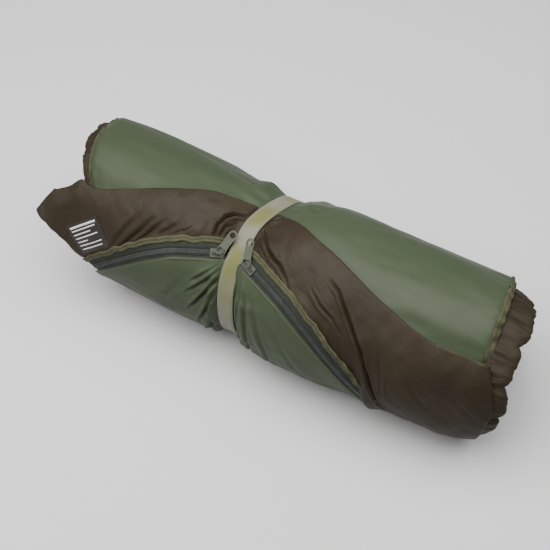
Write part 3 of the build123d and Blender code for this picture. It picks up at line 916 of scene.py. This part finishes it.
def zip_tapes():
    # (row, its way up the slope, its middle and its width)
    for row, sign, middle, width in (("upper", 1, 9.9, 10.2), ("lower", -1, -8.2, 6.8)):
        parts = []
        for path in zips.values():
            parts.append(strip(path, -8 * MM, path.s[-1], bar(middle, width, -0.35, 0.3)))
            # a rib stands up along each tape, beside the coils
            parts.append(strip(path, -8 * MM, path.s[-1], bar(sign * 7.3, 1.1, 0.25, 0.62, 0.12)))
        piece = sweeps(f"zip_tape_{row}_cloth", parts, TAPE)
        finish_piece(piece, "zip_tape", f"zip_tape_{row}")


def zip_binding():
    parts = []
    outline = [
        (13.6, -0.5), (13.2, 0.4), (13.4, 1.5), (14.6, 2.2), (16.6, 1.9), (17.3, 1.6),
        (18.0, 2.0), (20.0, 2.7), (21.6, 2.5), (22.3, 1.6), (21.9, 0.4), (20.2, -0.5),
    ]
    across, off = np.array(outline).T
    for seed, path in zip((60, 61), zips.values()):
        s = np.arange(-7 * MM, path.s[-1], 1.2 * MM)[:, None]
        waver = 0.6 * ripples(s / MM, 0, 30, seed) + 0.35 * ripples(s / MM, 0, 13, seed + 2)
        puffed = 0.35 * ripples(s / MM, 0, 15, seed + 4)
        up, out = across + waver, off + puffed * (off > 0)
        parts.append((path.at(s, up * MM, out * MM), stack(s, (up + out) * MM)))
    piece = sweeps("zip_seam_binding_tape", parts, BINDING)
    finish_piece(piece, "binding_tape", "zip_seam_binding")


def zip_chains():
    """Two rows of coil teeth on a cord, from the slider to the zip's end."""
    pitch, foot, head = 2.0 * MM, (4.6 * MM, 0.05 * MM), (-1.5 * MM, 0.25 * MM)
    for side, path in zips.items():
        low, high = (np.array(corner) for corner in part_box(f"slider_body_{side}"))
        start = ((low + high) / 2 - path.near) @ path.run - 4.0 * MM
        s = np.arange(start, path.s[-1] - pitch, pitch)
        starts, ends, sides = [], [], []
        for lead, sign in ((0.0, 1), (pitch / 2, -1)):
            foot_at = path.at(s + lead, sign * foot[0] + 0 * s, foot[1] + 0 * s)
            ahead = path.at(s + lead + 0.5 * MM, sign * foot[0] + 0 * s, foot[1] + 0 * s)
            starts.append(foot_at)
            ends.append(path.at(s + lead + 0.25 * pitch, sign * head[0] + 0 * s, head[1] + 0 * s))
            sides.append(unit(ahead - foot_at))
        bars = (np.concatenate(m) for m in (starts, ends, sides))
        teeth = capsules(f"zip_chain_{side}_coils", *bars, 0.54 * MM, 1.0 * MM, COIL)
        finish_piece(teeth, "zip_coil", f"zip_chain_{side}")
        cord = strip(path, start, path.s[-1], bar(0, 9.2, -0.9, 0.35, 0.3))
        finish_piece(sweeps(f"zip_chain_{side}_cord", [cord], TAPE), "zip_tape", f"zip_chain_{side}")


def stitch_row(name, line, normals, pitch, length, thick):
    """A row of lockstitches along a line of points."""
    steps = lengths_along(line)
    s = np.arange(pitch, steps[-1] - pitch, pitch)
    starts, ends = (points_at(s + half, steps, line) for half in (-length / 2, length / 2))
    sides = unit(np.cross(unit(points_at(s, steps, normals)), ends - starts))
    piece = capsules(name, starts, ends, sides, thick, 0.7 * thick, THREAD, rounds=2, around=6)
    finish_piece(piece, "sewing_thread")


# ---- rolled ends
PITCH = 19.0  # one full turn of both layers


def band(name, first, turns, thickness, ends, material, seed, node, slot, lobes):
    """A wound layer: its rounded side edges show at both ends, and it runs straight between them."""
    phi = np.linspace(0, 2 * math.pi * turns, int(84 * turns))
    angle = np.degrees(phi) % 360 - 90
    middle = first + PITCH * phi / (2 * math.pi)
    swell = 1 + 0.10 * ripples(middle * phi, phi, 45, seed)
    lines = []
    for side, x_end in (("right", ends[1]), ("left", ends[0])):
        way = ENDS[side][0]
        slant = edge_shift(angle, side) * smooth(middle / 95)
        out = x_end + slant + way * lobes * ripples(middle * phi, phi * 7, 38, seed + way)
        for k in np.linspace(0, math.pi, 9):
            half = thickness / 2 * swell * min(1.0, 0.95 + 0.45 * abs(math.cos(k)))
            inward = thickness * 0.55 * (1 - math.sin(k))
            lines.append((out - way * inward, middle + way * half * math.cos(k)))
    X, R = (stack(*m) for m in zip(*lines))
    points = place(X, angle[:, None], R, floor=3.0)
    uvs = stack(X, R + (phi * middle)[:, None]) * MM
    piece = sweeps(name, [(points, uvs)], material)
    finish_piece(piece, slot, node)


def inner_windings():
    band(
        "base_panel_inner_quilt", 13.0, 4.1, 7.0, (LEFT_EDGE - 3, RIGHT_EDGE + 3), GREEN, 80,
        "base_panel_inner_windings", "base_fabric", 1.2,
    )
    band(
        "top_panel_inner_quilt", 22.5, 3.45, 11.5, (LEFT_EDGE - 16, RIGHT_EDGE + 17), BROWN, 84,
        "top_panel_inner_windings", "top_fabric", 2.6,
    )


CREASES = {
    "left": ((-66, 5), (-28, 6), (4, 5), (60, 5), (104, 4), (148, 5), (-106, 5), (-150, 4)),
    "right": ((-74, 6), (-30, 3), (16, 5), (50, 5), (79, 4), (116, 6), (158, 5), (-118, 6)),
}
# (angle, how far the puff stands out beyond the green edge)
PUFF_REACH = {
    "left": [(-150, 14), (-60, 16), (0, 17), (30, 14), (50, 5), (125, 4), (150, 12)],
    "right": [
        (-150, 13), (-100, 12), (-54, 20), (-29, 35), (0, 37), (35, 33), (50, 38), (77, 42), (118, 32),
        (150, 18),
    ],
}


def puff(side):
    """The top panel's outermost end, which bulges out of the roll in lobes."""
    way, edge = ENDS[side]
    angle = np.linspace(-180, 180, 560, endpoint=False)
    section = np.linspace(-0.15 * math.pi, 1.15 * math.pi, 32)
    A, S = np.meshgrid(angle, section, indexing="ij")
    reach = np.interp(A, *zip(*PUFF_REACH[side]), period=360)
    if side == "right":
        reach = reach + end_wave(A, 91, 1.6, (2, 4, 7))
        outer = 101 + 9 * ramp(A, 34, 52) * ramp(A, 165, 140) + end_wave(A, 92, 1.2)
    else:
        reach = reach + end_wave(A, 93, 1.6, (2, 4, 7))
        outer = 99 + end_wave(A, 94, 1.0)
    pinch = sum(hill(A, at, 1.1 * width) for at, width in CREASES[side])
    line = sum(np.exp(-np.abs(A - at) / 1.1) for at, _ in CREASES[side])
    reach = reach * (1 - 0.15 * pinch - 0.07 * line)
    inner = 84 + end_wave(A, 95 + way, 1.5)
    middle, half = (outer + inner) / 2, (outer - inner) / 2
    out = np.clip(np.sin(S), -0.3, 1)
    a, b = girth(A), S * 16
    fine = 0.45 * ripples(a, b, 22, 98, 0.6) + 0.14 * ripples(a, b, 7, 99, 0.5)
    X = edge + edge_shift(A, side) + way * (1.0 + reach * out + fine * np.abs(out))
    R = middle + half * (1 - 0.12 * pinch - 0.08 * line) * np.cos(S) + fine * np.cos(S)
    points, uvs = place(X, A, R, floor=2.4), stack(a, S * 25) * MM
    name = f"top_panel_edge_{side}_puff"
    piece = cloth(name, points, uvs, BROWN, 0.6 * MM, wrap_rows=True, flip=way > 0)
    finish_piece(piece, "top_fabric", f"top_panel_edge_{side}")


def end_binding(side):
    """Ribbed tape folded over the side edge; it follows the puckered cloth."""
    way, edge = ENDS[side]
    # half of the tape's width, and how far in from the edge its middle lies
    wide, inset = (2.4, 1.0) if side == "left" else (5.8, 4.4)
    angle = np.linspace(-180, 180, 720, endpoint=False)
    wave = ruffle(angle, side)
    r = radius(edge) + wrap_height(np.full_like(angle, edge - way * inset), angle) + 0.5 * wave
    x = edge + edge_shift(angle, side) - way * inset
    if side == "right":
        x = x + 0.5 * end_wave(angle, 106, 1.3, RUFFLE)
    section = [
        (wide + 0.5, 0.0), (wide, 1.2), (0.45 * wide, 1.6), (0.1 * wide, 1.1), (-0.25 * wide, 1.7),
        (-wide, 1.5), (-wide - 0.7, 0.5), (-wide, -0.6), (0, -1.1), (wide, -1.1),
    ]
    u, v = np.array(section).T
    x, r, tilt, A = (m[:, None] for m in (x, r, np.radians(38 + 16 * np.clip(wave, -2, 2)), angle))
    X = x + way * (u * np.cos(tilt) + v * np.sin(tilt))
    R = r - u * np.sin(tilt) + v * np.cos(tilt)
    uvs = stack(np.radians(A) * 105, np.arange(len(section))) * MM
    piece = closed_sweep(f"edge_binding_{side}_tape", place(X, A, R, floor=2.6), BINDING, uvs)
    finish_piece(piece, "binding_tape", f"edge_binding_{side}")


# ---- strap
STRAP_WIDTH, STRAP_THICK = 25.0, 1.8
STRAP_INSIDE, STRAP_R = 105.6, 106.0  # its inner face, and the radius for its length
LAP_AT, LAP_SPAN = -125.0, 20.0  # where its ends are sewn over each other, in degrees


def strap_rings(angle, lift):
    """Rings of points and cloth coordinates of the strap, that far off its place."""
    angle = angle[:, None]
    # it stands off where it crosses the zip, and a little over the flap's top edge
    bulge = 3.4 * hill(angle, 35, 15) + 0.5 * hill(angle, 8, 20)
    r = STRAP_INSIDE + bulge + lift + 0.25 * np.sin(np.radians(angle) * 9)
    half, thick = STRAP_WIDTH / 2, STRAP_THICK
    cross = [
        (-half, thick * 0.5), (-half + 0.6, 0.05), (0, -0.1), (half - 0.6, 0.05), (half, thick * 0.5),
        (half - 0.6, thick * 0.95), (half * 0.5, thick), (0, thick * 0.96), (-half * 0.5, thick),
        (-half + 0.6, thick * 0.95),
    ]
    u, v = np.array(cross).T
    squeeze = 1 - 0.05 * hill(angle, 35, 25)
    curl = 0.35 * (u / half) ** 2
    points = place(strap_middle(angle) + u * squeeze, angle, r + v + curl, floor=0.6)
    return points, stack(np.radians(angle) * STRAP_R, u) * MM


def strap():
    points, uvs = strap_rings(np.linspace(-180, 180, 360, endpoint=False), 0.0)
    webbing = closed_sweep("elastic_strap_webbing", points, ELASTIC, uvs)
    finish_piece(webbing, "elastic_webbing", "elastic_strap")
    over = strap_rings(np.linspace(LAP_AT - LAP_SPAN / 2, LAP_AT + LAP_SPAN / 2, 24), STRAP_THICK + 0.05)
    finish_piece(sweeps("elastic_strap_lap", [over], ELASTIC), "elastic_webbing", "elastic_strap")
    # two rows of zigzag bar tacks
    starts, ends = [], []
    lift = STRAP_INSIDE + 2 * STRAP_THICK + 0.15
    for middle in (LAP_AT - 0.32 * LAP_SPAN, LAP_AT + 0.32 * LAP_SPAN):
        for k, x in enumerate(strap_middle(middle) + np.linspace(-10.0, 10.0, 34)):
            swing = 0.75 if k % 2 else -0.75
            starts.append(place(x - 0.2, middle + swing, lift))
            ends.append(place(x + 0.4, middle - swing, lift))
    sides = np.tile((1.0, 0.0, 0.0), (len(starts), 1))
    tacks = capsules(
        "strap_bartack_stitches", np.array(starts), np.array(ends), sides, 0.35 * MM, 0.3 * MM, THREAD,
        rounds=2, around=6,
    )
    finish_piece(tacks, "sewing_thread", "strap_bartacks")


# ---- care label
def label():
    joint = next(j for j in frame["joints"] if j["name"] == "label_fold")
    seam, along = np.array(joint["pos_m"]), unit(np.array(joint["axis"]))
    up = (label_low + label_high) / 2 - seam
    up = unit(up - along * (up @ along))
    width, height = 60 * MM, 50 * MM
    V, U = np.meshgrid(np.linspace(0, 1, 39), np.linspace(-0.5, 0.5, 41), indexing="ij")

    def at(U, V, lift):
        """Points on the label, which lies on the flap and curls up a little at its free corners."""
        x, angle, _ = polar(seam + (U * width)[..., None] * along + (V * height)[..., None] * up)
        r = radius(waist(x, angle)) + flap_height(x, angle) + 0.7
        curl = 1.3 * (np.abs(U) * 2) ** 3 * V + 0.5 * np.sin(6.0 * U + 1.2) * V
        return place(x, angle, r + curl + lift / MM)

    uvs = stack(U * width, V * height)
    piece = cloth("care_label_cloth", at(U, V, 0.0), uvs, LABEL, 0.35 * MM, offset=0)
    finish_piece(piece, "label_fabric", "care_label", body="label")
    # plain bars of a few lengths, which stand for nothing
    vertices, faces = [], []
    left, top, spacing = -0.42, 0.90, 0.122
    for row, length in enumerate((0.84, 0.78, 0.58, 0.76, 0.36, 0.78, 0.74)):
        line = top - spacing * row
        thick = 0.065 if row == 0 else 0.036
        us = np.linspace(left, left + length, 26)
        faces += grid_faces(2, len(us), start=len(vertices))
        for edge in (line, line - thick):
            vertices += list(at(us, np.full_like(us, edge), 0.24 * MM))
    bars = new_object("care_label_bars", vertices, faces, PRINT)
    thicken(bars, 0.08 * MM, offset=1)
    finish_piece(bars, "label_fabric", body="label")


# ---- CAD pieces that stay
def dress_hardware():
    finishes = {"slider_body": SLIDER, "slider_crown": SLIDER, "pull_tab": PULL, "slider_lock_spring": SPRING}
    for name, node in frame["nodes"].items():
        for start, look in finishes.items():
            if name.startswith(start):
                node.data.materials.clear()
                node.data.materials.append(look)


# ---- floor, light and camera
def aim(obj, target):
    obj.rotation_euler = (Vector(target) - obj.location).to_track_quat("-Z", "Y").to_euler()


def stage():
    """A pale floor, a dim sky and three soft lamps."""
    size = 12.0
    shader = Shader("pale_floor", rough=0.9, shine=0.1)
    shader.bsdf.inputs["Base Color"].default_value = (0.46, 0.46, 0.46, 1)
    corners = [(-size, -size, 0), (size, -size, 0), (size, size, 0), (-size, size, 0)]
    floor = new_object("floor", corners, [(0, 1, 2, 3)], shader.material)

    world = bpy.data.worlds.new("studio")
    world.use_nodes = True
    sky = world.node_tree.nodes["Background"]
    sky.inputs["Color"].default_value = (1, 1, 1, 1)
    sky.inputs["Strength"].default_value = 0.15
    bpy.context.scene.world = world
    for name, stands_at, across, power in (
        ("key", (-0.50, -0.38, 1.90), 1.8, 92.0),
        ("top", (0.6, 0.40, 2.2), 2.0, 73.0),
        ("fill", (-0.7, -0.95, 0.9), 0.9, 5.0),
    ):
        light = bpy.data.lights.new(name, "AREA")
        light.size, light.energy = across, power
        lamp = add_object(name, light)
        lamp.location = stands_at
        aim(lamp, (0, 0, 0.1))


def camera():
    azimuth, elevation, distance = math.radians(28), math.radians(56), 1.53
    target = np.array([-0.0214, -0.0059, 0.1112])
    level = math.cos(elevation)
    toward = np.array([math.sin(azimuth) * level, -math.cos(azimuth) * level, math.sin(elevation)])
    data = bpy.data.cameras.new("camera")
    data.lens, data.sensor_width = 69.1, 36.0
    cam = add_object("camera", data)
    cam.location = target + distance * toward
    aim(cam, target)
    bpy.context.scene.camera = cam


camera()
stage()
outer_winding()
flap()
lap()
for end in ("left", "right"):
    lap_topstitch(end)
zip_tapes()
zip_binding()
zip_chains()
inner_windings()
for end in ("left", "right"):
    puff(end)
    end_binding(end)
strap()
label()
dress_hardware()
